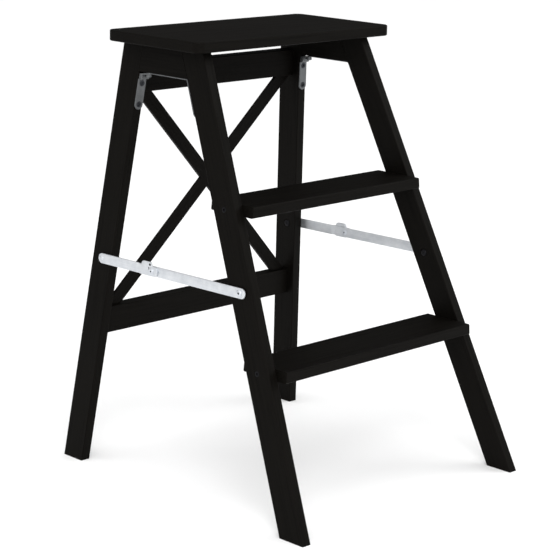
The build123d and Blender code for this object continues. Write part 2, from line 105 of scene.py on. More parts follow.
pin = Vector(joints["fold"]["pos_m"])
pin.x = sum(corner.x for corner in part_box("right_hinge_pin")) / 2
front_pivot = Vector(joints["right_stay_pivot"]["pos_m"])
knuckle = Vector(joints["right_stay_knuckle"]["pos_m"])
rear_pivot = sum(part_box("right_stay_rear_bolt"), Vector()) / 2
print("hinge pin", pin, "stay pivots", front_pivot, knuckle, rear_pivot)

# %% [markdown]
# ## Camera
# The ladder is seen from its front left, a little above its middle, through a long
# lens, so that its uprights stay nearly parallel. A camera can be aimed with a
# constraint, but writing its three axes down gives an exact view with no helper object.

# %% Camera
LENS = 122.3
EYE = Vector((-1.9056, -1.8471, 0.9335))
AZIMUTH, DIP, ROLL = radians(45.46), radians(13.92), radians(1.38)

forward = Vector((sin(AZIMUTH) * cos(DIP), cos(AZIMUTH) * cos(DIP), -sin(DIP)))
level_right = Vector((cos(AZIMUTH), -sin(AZIMUTH), 0))
level_up = level_right.cross(forward)
right = level_right * cos(ROLL) + level_up * sin(ROLL)
up = level_up * cos(ROLL) - level_right * sin(ROLL)

camera = bpy.data.objects.new("camera", bpy.data.cameras.new("camera"))
camera.data.lens = LENS
camera.data.clip_start, camera.data.clip_end = 0.05, 100
aim = Matrix((right, up, -forward)).transposed().to_4x4()
camera.matrix_world = Matrix.Translation(EYE) @ aim
scene.collection.objects.link(camera)
scene.camera = camera
print("camera at", tuple(round(v, 3) for v in EYE))

# %% [markdown]
# ## Sockets that can be added and multiplied
# A material is a graph of nodes. Written out link by link, even a small pattern takes
# a page. A thin class round a socket, with Python's own operators, lets a pattern be
# written as arithmetic. Colours and vectors are kept out of Math nodes, which would
# turn them grey.

# %% The socket class
class Wire:
    """A node's output that takes part in Python arithmetic."""

    def __init__(self, finish, socket):
        self.finish = finish
        self.socket = socket

    def math(self, operation, *values):
        inputs = dict(enumerate(values))
        return self.finish.add("ShaderNodeMath", {"operation": operation}, inputs)

    def __add__(self, other):
        return self.math("ADD", self, other)

    def __radd__(self, other):
        return self.math("ADD", other, self)

    def __sub__(self, other):
        return self.math("SUBTRACT", self, other)

    def __rsub__(self, other):
        return self.math("SUBTRACT", other, self)

    def __mul__(self, other):
        return self.math("MULTIPLY", self, other)

    def __rmul__(self, other):
        return self.math("MULTIPLY", other, self)


print("sockets add, subtract and multiply")

# %% [markdown]
# ## One method that adds every node
# Every other node of a material is added by one method. It makes the node's settings
# first and fills its sockets after, because a setting such as the data type of a Mix
# node decides which sockets count. The short methods below it name the few nodes that
# the finishes of a ladder need.

# %% The material builder
class Finish:
    """A material, or the sky, under construction."""

    def __init__(self, name, owner=None, shader="Principled BSDF"):
        self.material = owner or bpy.data.materials.new(name)
        self.material.use_nodes = True
        self.tree = self.material.node_tree
        self.shader = self.tree.nodes[shader]

    def add(self, kind, settings=None, inputs=None, output=0):
        """Add a node: its settings first, then its sockets. Gives back one output."""
        node = self.tree.nodes.new(kind)
        for key, value in (settings or {}).items():
            if key == "stops":
                self.set_stops(node.color_ramp, value)
            else:
                setattr(node, key, value)
        for key, value in (inputs or {}).items():
            self.feed(node.inputs[key], value)
        return Wire(self, node.outputs[output])

    def set_stops(self, ramp, stops):
        while len(ramp.elements) < len(stops):
            ramp.elements.new(1)
        for element, (position, value) in zip(ramp.elements, stops):
            element.position = position
            element.color = (value, value, value, 1)

    def feed(self, socket, value):
        if isinstance(value, Wire):
            self.tree.links.new(value.socket, socket)
        else:
            socket.default_value = value

    def shade(self, **values):
        """Set the shader's own sockets, named with underscores for spaces."""
        for key, value in values.items():
            self.feed(self.shader.inputs[key.replace("_", " ")], value)
        return self.material

    def place(self, rotation=(0, 0, 0), scale=(1, 1, 1), offset=(0, 0, 0)):
        """Object coordinates, turned, stretched and shifted."""
        here = self.add("ShaderNodeTexCoord", output=3)
        turned = self.add("ShaderNodeMapping", inputs={0: here, 2: rotation})
        return self.add("ShaderNodeMapping", inputs={0: turned, 1: offset, 3: scale})

    def noise(self, vector, scale, detail=3, roughness=0.5, distortion=0):
        sockets = {"Vector": vector, "Scale": scale, "Detail": detail}
        sockets.update({"Roughness": roughness, "Distortion": distortion})
        return self.add("ShaderNodeTexNoise", inputs=sockets)

    def ramp(self, value, *stops):
        return self.add("ShaderNodeValToRGB", {"stops": stops}, {0: value})

    def mix(self, factor, first, second):
        """Mix two colours."""
        sockets = {0: factor, 6: (*first, 1), 7: (*second, 1)}
        return self.add("ShaderNodeMix", {"data_type": "RGBA"}, sockets, output=2)

    def bump(self, height, strength, distance):
        sockets = {"Height": height, "Strength": strength, "Distance": distance}
        return self.add("ShaderNodeBump", inputs=sockets)


methods = [name for name in vars(Finish) if not name.startswith("_")]
print("a finish is built from", len(methods), "methods")

# %% [markdown]
# ## Black stained wood
# The boards are a fine hardwood under a black satin stain. The stain hides the colour
# of the wood but not its pores: under a raking light each board shows fine dark
# lines along its length and a slightly uneven gloss. An image of grain would repeat
# and stretch. Noise that is stretched along the board gives lines on the long faces
# and dots on the sawn ends, as in real wood. The pattern is turned to each board's own
# direction, because grain follows the plank and not the room.

# %% Black wood for a board in any direction
STAIN = (0.0015, 0.0013, 0.0010)
STAIN_IN_LIGHT = (0.0042, 0.0036, 0.0029)
SATIN_SHEEN = 0.035


def turn_to(along, face):
    """Rotation that brings a board's length to X and its broad face to Z."""
    length = Vector(along).normalized()
    across = Vector(face).cross(length).normalized()
    return Matrix((length, across, length.cross(across))).to_euler()


def black_wood(name, along, face, seed):
    finish = Finish(name)
    rotation = turn_to(along, face)
    shift = (seed * 0.37, seed * 0.73, seed * 0.19)
    pores = finish.noise(finish.place(rotation, (9, 420, 420), shift), 1, 4, 0.6)
    figure = finish.noise(finish.place(rotation, (1.6, 26, 26), shift), 1, 3, 0.55, 0.6)
    clouds = finish.noise(finish.place(rotation, (5, 12, 12), shift), 1, 2)
    pits = finish.ramp(pores, (0.34, 0), (0.52, 1))
    tone = pits * 0.55 + figure * 0.45
    gloss = 0.44 + clouds * 0.12 + figure * 0.10 - pits * 0.06
    height = pits * 0.7 + figure * 0.3
    return finish.shade(
        Base_Color=finish.mix(tone, STAIN, STAIN_IN_LIGHT),
        Roughness=gloss,
        Normal=finish.bump(height, 0.22, 0.00012),
        Specular_IOR_Level=SATIN_SHEEN,
    )


print("black wood turns a board's pattern to", [round(v, 3) for v in turn_to(STILE_DOWN, OUTWARD)])

# %% [markdown]
# ## A wood for each board
# No two boards of a real ladder are cut from the same place in the plank. Each board
# gets its own material, with the pattern turned to its length and shifted by a seed. One
# shared material would be lighter, but its lines would run across the rails.

# %% Wood on the boards
def paint(material, *names):
    """Give CAD nodes a finish through their material slots."""
    for name in names:
        slots = nodes[name].material_slots
        if not slots:
            nodes[name].data.materials.append(material)
        for slot in slots:
            slot.material = material


def both(name):
    return ["left_" + name, "right_" + name]


for side, sign in (("left", -1), ("right", 1)):
    outward = (sign * OUTWARD.x, 0, OUTWARD.z)
    stile = black_wood(side + "_stile_wood", leaning(-FRONT_LEAN, sign), outward, 3 + sign)
    paint(stile, side + "_front_stile")
    leg = black_wood(side + "_leg_wood", leaning(REAR_LEAN, sign), outward, 7 + sign)
    paint(leg, side + "_rear_leg")
    paint(black_wood(side + "_apron_wood", Y_AXIS, outward, 11 + sign), side + "_side_apron")
for seed, name in enumerate(("top_plate", "upper_tread", "lower_tread")):
    paint(black_wood(name + "_wood", X_AXIS, Z_AXIS, 15 + seed), name)
for seed, name in enumerate(("upper_rear_crossbar", "lower_rear_stretcher")):
    paint(black_wood(name + "_wood", X_AXIS, LEG_FRONT, 19 + seed), name)
SLAT_SLOPE = (0.7, 0.714)
for name, sign in (("brace_slat_rising", 1), ("brace_slat_falling", -1)):
    slope = Vector((sign * SLAT_SLOPE[0], 0, SLAT_SLOPE[1]))
    paint(black_wood(name + "_wood", slope, LEG_FRONT, 23 + sign), name)
finishes = [node.material_slots[0].material.name for node in nodes.values() if node.material_slots]
print("black wood on", len([name for name in finishes if name.endswith("_wood")]), "boards")

# %% [markdown]
# ## Beech for the dowels and pegs
# The joints are held by turned beech dowels, sealed inside their bores. They only show
# if the model is cut open, so a plain pale wood with rings across its length is enough.

# %% Beech
def beech():
    finish = Finish("turned_beech")
    fibre = finish.noise(finish.place(scale=(40, 600, 600)), 1, 3)
    tone = finish.ramp(fibre, (0.3, 0), (0.7, 1))
    return finish.shade(
        Base_Color=finish.mix(tone, (0.47, 0.30, 0.16), (0.62, 0.44, 0.27)),
        Roughness=0.5 + fibre * 0.2,
        Normal=finish.bump(fibre, 0.3, 0.0001),
    )


paint(beech(), "tread_dowels", "top_dowels", "apron_dowels", "rail_dowels", "brace_pegs")
print("dowels are beech")

# %% [markdown]
# ## Plated metals
# The side stays are bright zinc strip, a pale metal with a faint blue and straw tint
# and fine lines from rolling. The hinges and corner straps are a duller grey plate with
# small clouds in it. The rivets are bright, and the screws are darker. One function
# makes them all, because they differ only in tone, gloss and the direction of their
# lines. Plating is a metal, so the shader is fully metallic and its colour is that of
# the reflection.

# %% Plated metal
def plated(name, dark, light, rough, lines, line_depth):
    finish = Finish(name)
    rolled = finish.noise(finish.place(scale=lines), 1, 2, 0.6)
    clouds = finish.noise(finish.place(scale=(70, 70, 70)), 1, 4, 0.6)
    grit = finish.noise(finish.place(scale=(900, 900, 900)), 1, 2)
    specks = finish.ramp(grit, (0.55, 0), (0.75, 1))
    tone = clouds * 0.6 + rolled * 0.4
    return finish.shade(
        Base_Color=finish.mix(finish.ramp(tone, (0.3, 0), (0.7, 1)), dark, light),
        Metallic=1.0,
        Roughness=rough + clouds * 0.12 + rolled * 0.08 - specks * 0.05,
        Normal=finish.bump(rolled + specks * 0.3, line_depth, 0.00003),
    )


ALONG_STAY, ALONG_LEAF, NO_LINES = (400, 12, 1400), (900, 900, 60), (500, 500, 500)
zinc = plated("bright_zinc", (0.54, 0.565, 0.60), (0.74, 0.755, 0.775), 0.42, ALONG_STAY, 0.25)
hinge_steel = plated("grey_plate", (0.10, 0.105, 0.11), (0.17, 0.175, 0.18), 0.42, ALONG_LEAF, 0.3)
# Dark screw plate; also painted shade in rivet dimples, screw sockets and the stay's slot.
screw_steel = plated(
    "dark_screw_plate_and_painted_shade", (0.008, 0.008, 0.009), (0.02, 0.02, 0.022), 0.42, NO_LINES, 0.2
)
hinge_screw_steel = plated(
    "grey_screw_plate", (0.022, 0.024, 0.027), (0.055, 0.058, 0.065), 0.38, NO_LINES, 0.2
)
rivet_steel = plated("bright_rivet", (0.52, 0.55, 0.60), (0.70, 0.72, 0.75), 0.28, NO_LINES, 0.2)
paint(rivet_steel, *both("stay_front_washer"))
print("five plated metals")

# %% [markdown]
# ## From a bmesh to a piece
# Each metal part is built for the right-hand side in a bmesh, then mirrored for the
# left. A mirror turns a shape inside out, so normals are worked out afresh. Faces are
# smooth, except where two of them meet at a clear edge. A piece is told which body it
# rides on and which CAD nodes it stands for.

# %% Turning a bmesh into a piece
WELD = 0.002 * MM
SHARP = radians(32)


def finish_piece(name, shape, materials, body, stands_for):
    """Turn a bmesh into a named piece. Gives its number of faces."""
    bmesh.ops.remove_doubles(shape, verts=shape.verts, dist=WELD)
    bmesh.ops.recalc_face_normals(shape, faces=shape.faces)
    mesh = bpy.data.meshes.new(name)
    shape.to_mesh(mesh)
    shape.free()
    for material in materials:
        mesh.materials.append(material)
    mesh.polygons.foreach_set("use_smooth", [True] * len(mesh.polygons))
    mesh.set_sharp_from_angle(angle=SHARP)
    piece = bpy.data.objects.new(name, mesh)
    scene.collection.objects.link(piece)
    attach(piece, body)
    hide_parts(*stands_for)
    return len(mesh.polygons)


def on_both_sides(name, build, materials, slot, body, *stands_for):
    """Make a right-hand piece and its mirror image. The body may differ per side."""
    for side, sign in (("right", 1), ("left", -1)):
        shape = bmesh.new()
        build(shape)
        bmesh.ops.scale(shape, vec=(sign, 1, 1), verts=shape.verts)
        replaced = [side + "_" + node for node in stands_for]
        own_body = body.replace("SIDE", side)
        count = finish_piece(side + "_" + name, shape, materials, own_body, replaced)
    print(name, "has", count, "faces a side")


def pose(shape, verts, origin, along, normal):
    """Move new geometry so that its Y runs along and its Z points along normal."""
    y = Vector(along).normalized()
    z = Vector(normal).normalized()
    turn = Matrix((y.cross(z), y, z)).transposed().to_4x4()
    bmesh.ops.transform(shape, matrix=Matrix.Translation(origin) @ turn, verts=verts)


def soften(shape, faces, radius, segments=2, least=radians(40)):
    """Round the sharp edges of some faces, as rolling or tumbling does."""
    edges = {edge for face in faces for edge in face.edges if edge.calc_face_angle(0) > least}
    bmesh.ops.bevel(
        shape, geom=list(edges), offset=radius, offset_type="OFFSET", segments=segments,
        profile=0.5, affect="EDGES", material=-1,
    )


print("pieces are built on the right and mirrored")

# %% [markdown]
# ## Outlines of flat parts
# The stay arms and hinge leaves are punched from flat strip. A plate starts as one face
# on a few corners. Each corner is rounded with a vertex bevel, and a corner whose radius
# is half the width makes a round end. Holes are circles, and a slot is a circle pulled
# apart. Typing in the points of every arc would work too, but a radius is easier to
# change.

# %% Outlines
CORNER_STEPS = 10
HOLE_STEPS = 20


def rounded_outline(shape, corners):
    """Edges of an outline with a rounded corner at each (x, y, radius)."""
    before = set(shape.edges)
    verts = [shape.verts.new((x, y, 0)) for x, y, radius in corners]
    shape.faces.new(verts)
    for vert, (x, y, radius) in zip(verts, corners):
        bmesh.ops.bevel(
            shape, geom=[vert], offset=radius, offset_type="OFFSET", segments=CORNER_STEPS,
            profile=0.5, affect="VERTICES", material=-1,
        )
    edges = [edge for edge in shape.edges if edge not in before]
    bmesh.ops.delete(shape, geom=list(edges[0].link_faces), context="FACES_ONLY")
    return edges


def slot_outline(shape, x, y, radius, stretch):
    """Edges of a circle at (x, y) pulled apart along X by stretch."""
    circle = bmesh.ops.create_circle(
        shape, cap_ends=False, segments=HOLE_STEPS, radius=radius
    )["verts"]
    for vert in circle:
        vert.co.x += x + (stretch / 2 if vert.co.x > 0 else -stretch / 2)
        vert.co.y += y
    return list({edge for vert in circle for edge in vert.link_edges})


print("corners are rounded in", CORNER_STEPS, "steps and holes in", HOLE_STEPS)

# %% [markdown]
# ## From an outline to a plate
# A triangle fill between all the loops leaves the holes open, an extrusion gives the
# thickness, and a narrow bevel takes the sharpness off the rims. A boolean could cut the
# holes too, but it needs a helper object for each. A plate may also get a step, as a
# press gives it: pairs of cuts mark the two bends, and what lies beyond them is moved.

# %% Plates
def plate(shape, corners, thickness, rim=0.3 * MM, slots=(), step=None):
    """A plate from Z = 0 up, perhaps with slots and a bent step. Gives its vertices."""
    before = set(shape.verts)
    edges = rounded_outline(shape, corners)
    for slot in slots:
        edges += slot_outline(shape, *slot)
    bmesh.ops.triangle_fill(shape, edges=edges, use_beauty=True, normal=(0, 0, 1))
    flat = [face for face in shape.faces if not before.intersection(face.verts)]
    raised = bmesh.ops.extrude_face_region(shape, geom=flat, use_keep_orig=True)["geom"]
    lifted = [item for item in raised if isinstance(item, bmesh.types.BMVert)]
    bmesh.ops.translate(shape, vec=(0, 0, thickness), verts=lifted)
    if step:
        bend_step(shape, before, *step)
    new = [vert for vert in shape.verts if vert not in before]
    faces = list({face for vert in new for face in vert.link_faces})
    bmesh.ops.recalc_face_normals(shape, faces=faces)
    soften(shape, faces, rim)
    return [vert for vert in shape.verts if vert not in before]


def bend_step(shape, before, start, end, depth):
    """Bend everything beyond start down by depth, with the slope between start and end."""
    ease = 1.5 * MM  # extra cuts a little way off keep each bend narrow
    for place in (start - ease, start, end, end + ease):
        new = [vert for vert in shape.verts if vert not in before]
        around = {item for vert in new for item in [vert, *vert.link_edges, *vert.link_faces]}
        bmesh.ops.bisect_plane(shape, geom=list(around), plane_co=(0, place, 0), plane_no=Y_AXIS)
    for vert in shape.verts:
        if vert not in before:
            vert.co.z -= depth * min(1, max(0, (vert.co.y - start) / (end - start)))


print("plates are ready")

# %% [markdown]
# ## Turned parts
# Rivets, pins, washers and hinge eyes are round. Half of the section is drawn as a line
# of points, and a full spin about its axis turns it, as a lathe would. An end on the
# axis closes by itself once the doubled points are merged. A closed section makes a
# tube.

# %% Turned parts
def turned(shape, outline, steps=32, closed=False, dark=0):
    """Spin an outline of (radius, height) points about Z. Gives the new vertices.

    Faces nearer to the axis than dark take the piece's second material.
    """
    before = set(shape.verts)
    verts = [shape.verts.new((radius, 0, height)) for radius, height in outline]
    edges = [shape.edges.new(pair) for pair in zip(verts, verts[1:])]
    if closed:
        edges.append(shape.edges.new((verts[-1], verts[0])))
    bmesh.ops.spin(
        shape, geom=verts + edges, cent=(0, 0, 0), axis=(0, 0, 1), dvec=(0, 0, 0),
        angle=2 * pi, steps=steps, use_merge=True,
    )
    new = [vert for vert in shape.verts if vert not in before]
    bmesh.ops.remove_doubles(shape, verts=new, dist=WELD)
    new = [vert for vert in shape.verts if vert not in before]
    for face in {face for vert in new for face in vert.link_faces}:
        face.material_index = int(face.calc_center_median().xy.length < dark)
    return new


print("turned parts are ready")

# %% [markdown]
# ## Rivets and bolts of the stays
# A stay turns on rivets. Each has a low turned head, rounded over by the press, with a
# dimple left by the tool; in most heads the dimple's faces take the dark finish as painted
# shade. The head and its shank are one outline spun about its axis: a lathe is the natural
# way to make anything round. The heads inside the frame were painted over with the wood,
# so they take the dark finish.

# %% Heads and shanks
PIVOT_SHANK = 3.0 * MM


def head_outline(radius, height, dimple):
    """Half section of a pressed head that stands on height 0, from rim to centre."""
    rounded = [(radius, 0), (radius, 0.30 * height), (0.94 * radius, 0.60 * height)]
    crown = [(0.80 * radius, 0.86 * height), (0.60 * radius, 0.98 * height), (1.1 * dimple, height)]
    bowl = [(dimple, 0.90 * height), (0.85 * dimple, 0.35 * height), (0, 0.25 * height)]
    return rounded + crown + bowl


def shanked(radius, height, dimple, shank, length):
    """A head with its shank below, closed at the bottom."""
    return [(0, -length), (shank, -length), (shank, 0)] + head_outline(radius, height, dimple)


print("a head has", len(head_outline(1, 1, 0.3)), "points in its half section")

# %% [markdown]
# ## Bolts through the boards
# The front bolt goes through the stile, a washer and the inner arm. The rear bolt goes
# through the leg and a spacer, and the outer arm turns on its end. Their places along X
# are read from the boxes of the CAD nodes, so that the heads sit on what they hold. The
# outer arm steps inwards on its way back, so the rear bolt and its spacer end that much
# sooner.

# %% Bolts and spacers
BOLT_HEAD_RADIUS, BOLT_HEAD_HEIGHT, BOLT_DIMPLE = 5 * MM, 1.6 * MM, 1.2 * MM
FRONT_HEAD_RADIUS, FRONT_HEAD_HEIGHT, FRONT_DIMPLE = 4.8 * MM, 1.5 * MM, 1.6 * MM
STEP_DEPTH = 1.6 * MM
arm_low, arm_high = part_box("right_stay_front_arm")
outer_low, outer_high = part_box("right_stay_rear_arm")
bolt_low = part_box("right_stay_front_bolt")[0]
rear_low, rear_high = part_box("right_stay_rear_bolt")
spacer_low, spacer_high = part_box("right_stay_rear_spacer")
print("arms stand from X", round(arm_low.x, 5), "to", round(outer_high.x, 5))


def front_bolt(shape):
    """Rivet through stile, washer and arm, with a head at both ends."""
    face = arm_high.x + 0.05 * MM
    seat = bolt_low.x + BOLT_HEAD_HEIGHT
    length = face - bolt_low.x - BOLT_HEAD_HEIGHT
    outline = shanked(FRONT_HEAD_RADIUS, FRONT_HEAD_HEIGHT, FRONT_DIMPLE, PIVOT_SHANK, length)
    # The dimple's faces take the dark finish as painted shade.
    outer = turned(shape, outline, dark=FRONT_DIMPLE)
    pose(shape, outer, (face, front_pivot.y, front_pivot.z), Z_AXIS, X_AXIS)
    outline = [(0, 0)] + head_outline(BOLT_HEAD_RADIUS, BOLT_HEAD_HEIGHT, BOLT_DIMPLE)
    inner = turned(shape, outline, dark=BOLT_HEAD_RADIUS)
    pose(shape, inner, (seat, front_pivot.y, front_pivot.z), Z_AXIS, -X_AXIS)


def rear_bolt(shape):
    """Bolt through leg and spacer, headed on the inside."""
    seat = rear_low.x + BOLT_HEAD_HEIGHT
    length = rear_high.x - rear_low.x - BOLT_HEAD_HEIGHT - STEP_DEPTH
    outline = shanked(BOLT_HEAD_RADIUS, BOLT_HEAD_HEIGHT, BOLT_DIMPLE, PIVOT_SHANK, length)
    inner = turned(shape, outline, dark=BOLT_HEAD_RADIUS)
    pose(shape, inner, (seat, rear_pivot.y, rear_pivot.z), Z_AXIS, -X_AXIS)


def rear_spacer(shape):
    """Ring between the leg and the arm."""
    length = spacer_high.x - spacer_low.x - STEP_DEPTH
    ease, bore, radius = 0.3 * MM, 3.05 * MM, 5.8 * MM
    near = [(bore, 0), (radius - ease, 0), (radius, ease)]
    far = [(radius, length - ease), (radius - ease, length), (bore, length)]
    ring = turned(shape, near + far, closed=True)
    pose(shape, ring, (spacer_low.x, rear_pivot.y, rear_pivot.z), Z_AXIS, X_AXIS)


# Second finish: black paint on the inner heads, painted shade in the dimples.
rivet_pair = [rivet_steel, screw_steel]
on_both_sides(
    "stay_front_bolt_turned", front_bolt, rivet_pair, "rivet_steel", "front_frame",
    "stay_front_bolt",
)
on_both_sides(
    "stay_rear_bolt_turned", rear_bolt, rivet_pair, "rivet_steel", "rear_frame",
    "stay_rear_bolt",
)
on_both_sides(
    "stay_rear_spacer_turned", rear_spacer, [rivet_steel], "rivet_steel", "rear_frame",
    "stay_rear_spacer",
)

# %% [markdown]
# ## The inner arm of a stay
# The inner arm runs from the stile to the knuckle and a little past it. Its front end
# goes on past the rivet. Under the knuckle it is slightly wider, so a narrow edge of it
# shows below the outer arm.

# %% Inner arms
stay_run = knuckle - front_pivot
stay_run.x = 0
STAY_REACH = stay_run.length
STAY_AXIS = stay_run.normalized()
HALF_WIDTH = 7.25 * MM
ROUND_END = 0.998 * HALF_WIDTH
STRIP_THICKNESS = arm_high.x - arm_low.x
FRONT_OVERHANG = front_pivot.y - arm_low.y
TAIL = arm_high.y - knuckle.y
RIM = 0.4 * MM


def front_arm(shape):
    """Strip from the stile past the knuckle, a little wider there."""
    tail, belly = STAY_REACH + TAIL, HALF_WIDTH + 0.75 * MM
    upper = [(-HALF_WIDTH, tail, 2.5 * MM), (-HALF_WIDTH, -FRONT_OVERHANG, ROUND_END)]
    lower = [(HALF_WIDTH, -FRONT_OVERHANG, ROUND_END), (HALF_WIDTH, STAY_REACH - 4 * MM, 1 * MM)]
    wide = [(belly, STAY_REACH - 2 * MM, 1 * MM), (belly, tail, 3 * MM)]
    bar = plate(shape, upper + lower + wide, STRIP_THICKNESS, RIM)
    pose(shape, bar, (arm_low.x, front_pivot.y, front_pivot.z), STAY_AXIS, X_AXIS)


on_both_sides(
    "stay_front_arm_strip", front_arm, [zinc], "stay_zinc", "SIDE_stay_front", "stay_front_arm"
)

# %% [markdown]
# ## The outer arm and its thumb tab
# The outer arm laps over the inner one at the knuckle. In front of the rivet it ends in
# a round nose. Above and behind the rivet it has a raised tab, to push with a thumb when
# the ladder is folded, and a short upright slot where the press has relieved the metal;
# the walls of the slot take the dark finish as painted shade. Behind the tab the strip
# steps inwards, to run in line with the inner arm. The tab could be a second plate joined
# on, but one outline keeps the metal in one piece, as the real strip is.

# %% Outer arms
TAB_RISE = 12.8 * MM
TAB_FRONT = 1.0 * MM
TAB_BACK = 20.5 * MM
SLOT = (-3.0 * MM, 5.3 * MM, 0.65 * MM, 3.2 * MM)
# Reach round the slot of the painted shade on its walls.
SLOT_SHADE_REACH = (2.6 * MM, 0.9 * MM)
STEP = (TAB_BACK + 2.5 * MM, TAB_BACK + 7.5 * MM, STEP_DEPTH)
stay_rear_run = rear_pivot - knuckle
stay_rear_run.x = 0


def rear_arm(shape):
    """Strip with a nose, a raised tab and a slot at the knuckle, and a step behind them."""
    end = stay_rear_run.length + HALF_WIDTH
    nose = knuckle.y - outer_low.y
    lower = [(HALF_WIDTH, end, ROUND_END), (HALF_WIDTH, -nose, ROUND_END)]
    front = [(-HALF_WIDTH, -nose, ROUND_END), (-HALF_WIDTH, -TAB_FRONT, 0.8 * MM)]
    tab = [(-TAB_RISE, -TAB_FRONT + 0.6 * MM, 3.4 * MM), (-TAB_RISE, TAB_BACK - 0.8 * MM, 4.6 * MM)]
    back = [(-HALF_WIDTH, TAB_BACK, 1.4 * MM), (-HALF_WIDTH, end, ROUND_END)]
    outline = lower + front + tab + back
    bar = plate(shape, outline, STRIP_THICKNESS, RIM, [SLOT], STEP)
    # The walls of the slot take the dark finish as painted shade.
    for face in shape.faces:
        away = face.calc_center_median().xy - Vector(SLOT[:2])
        slot_wall_painted_shade = abs(away.x) < SLOT_SHADE_REACH[0] and abs(away.y) < SLOT_SHADE_REACH[1]
        face.material_index = int(slot_wall_painted_shade and abs(face.normal.z) < 0.5)
    pose(shape, bar, (outer_low.x, knuckle.y, knuckle.z), stay_rear_run, X_AXIS)


on_both_sides(
    "stay_rear_arm_strip", rear_arm, [zinc, screw_steel], "stay_zinc", "SIDE_stay_rear",
    "stay_rear_arm",
)

# %% [markdown]
# ## Knuckle rivet, tab pin and rear rivet
# The knuckle rivet is small, on a wide washer with one turned step, so the joint shows
# as rings inside one another. A dark pin is set in the front corner of the tab. The
# rear rivet is a low plain one. All of them turn with the outer arm.

# %% Knuckle rivets, tab pins and rear rivets
KNUCKLE_DIMPLE = 1.25 * MM
INNER_DIMPLE = 1.1 * MM
pin_low, pin_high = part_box("right_stay_tab_pin")


def knuckle_rivet(shape):
    """Stepped washer and small rivet outside, plain head inside."""
    face = outer_high.x
    washer = [(0, 0), (5.4 * MM, 0), (5.4 * MM, 0.35 * MM), (5.1 * MM, 0.55 * MM)]
    washer += [(3.6 * MM, 0.6 * MM)]
    boss = [(3.4 * MM, 0.9 * MM), (3.0 * MM, 1.05 * MM), (1.5 * MM, 1.1 * MM)]
    dimple = [(KNUCKLE_DIMPLE, 1.0 * MM), (1.0 * MM, 0.25 * MM), (0, 0.2 * MM)]
    # The dimple's faces take the dark finish as painted shade.
    outer = turned(shape, washer + boss + dimple, 40, dark=KNUCKLE_DIMPLE)
    pose(shape, outer, (face, knuckle.y, knuckle.z), STAY_AXIS, X_AXIS)
    outline = shanked(4.6 * MM, 1.4 * MM, INNER_DIMPLE, PIVOT_SHANK, face - arm_low.x)
    # The dimple's faces take the dark finish as painted shade.
    inner = turned(shape, outline, dark=INNER_DIMPLE)
    pose(shape, inner, (arm_low.x, knuckle.y, knuckle.z), STAY_AXIS, -X_AXIS)


def tab_pin(shape):
    """Plain pin whose inner end stops just short of the inner arm's face."""
    radius, ease, gap, length = 1.8 * MM, 0.3 * MM, 0.05 * MM, pin_high.x - pin_low.x
    rod = [(0, gap), (radius, gap), (radius, length - ease), (radius - ease, length), (0, length)]
    middle = (pin_low + pin_high) / 2
    pose(shape, turned(shape, rod, 24), (pin_low.x, middle.y, middle.z), Z_AXIS, X_AXIS)


def rear_rivet(shape):
    """Low rivet on the stepped end of the outer arm."""
    face = outer_high.x - STEP_DEPTH
    length = face - outer_low.x + STEP_DEPTH
    head = turned(shape, shanked(3.6 * MM, 0.9 * MM, 0.8 * MM, PIVOT_SHANK, length))
    pose(shape, head, (face, rear_pivot.y, rear_pivot.z), Z_AXIS, X_AXIS)


on_both_sides(
    "stay_knuckle_rivet_turned", knuckle_rivet, rivet_pair, "rivet_steel", "SIDE_stay_rear",
    "stay_knuckle_rivet",
)
on_both_sides(
    "stay_tab_pin_turned", tab_pin, [screw_steel], "screw_steel", "SIDE_stay_rear",
    "stay_tab_pin",
)
on_both_sides(
    "stay_rear_rivet_turned", rear_rivet, [zinc], "rivet_steel", "SIDE_stay_rear",
    "stay_rear_rivet",
)

# %% [markdown]
# ## Eyes of the hinges
# The rear frame hangs on two small strap hinges under the aprons. Their rolled eyes take
# turns along one pin: the leg leaf has the middle eye, the apron leaf the outer two, each
# joined to its leaf by a short neck. The eyes are tubes, each spun from a small closed
# section, so that the ends are crisp and the pin can be seen in them.

# %% Eyes and necks
HINGE_WIDTH = 14 * MM
LEAF_THICKNESS = 2 * MM
EYE_RADIUS = 3.4 * MM
EYE_BORE = 1.8 * MM
EYE_WIDTH = HINGE_WIDTH / 3 - 0.2 * MM


def eye(shape, middle):
    """A rolled eye round the pin."""
    half, ease = EYE_WIDTH / 2, 0.25 * MM
    section = [
        (EYE_BORE, -half), (EYE_RADIUS - ease, -half), (EYE_RADIUS, -half + ease),
        (EYE_RADIUS, half - ease), (EYE_RADIUS - ease, half), (EYE_BORE, half),
    ]
    tube = turned(shape, section, 28, closed=True)
    pose(shape, tube, (pin.x + middle, pin.y, pin.z), Z_AXIS, X_AXIS)


def neck(shape, size, centre, along, normal):
    """The flat metal that joins an eye to its leaf."""
    block = bmesh.ops.create_cube(shape, size=1)["verts"]
    bmesh.ops.scale(shape, vec=size, verts=block)
    pose(shape, block, centre, along, normal)


print("an eye is", round(EYE_WIDTH / MM, 2), "mm wide")

# %% [markdown]
# ## Leaves and pins
# A long leaf runs down the front edge of each leg, and a short one slopes up from the
# pin to the underside of the apron. Both are plates. The long one has its screw holes
# cut, because the recess of a countersunk screw lies below the face of the leaf.

# %% Hinge leaves and pins
LEG_LEAF_TOP, LEG_LEAF_END = 3.2 * MM, 47 * MM
APRON_LEAF_BACK, APRON_LEAF_FRONT = -1.5 * MM, 19.5 * MM
PIN_TO_LEG = 4.5 * MM
LEG_SCREW_STEPS = (9.4, 39.6)
LEG_SCREW_HOLE = 4.1 * MM
LEAF_TILT = radians(8.4)
LEAF_UP = Vector((0, sin(LEAF_TILT), cos(LEAF_TILT)))
LEAF_FORWARD = Vector((0, -cos(LEAF_TILT), sin(LEAF_TILT)))


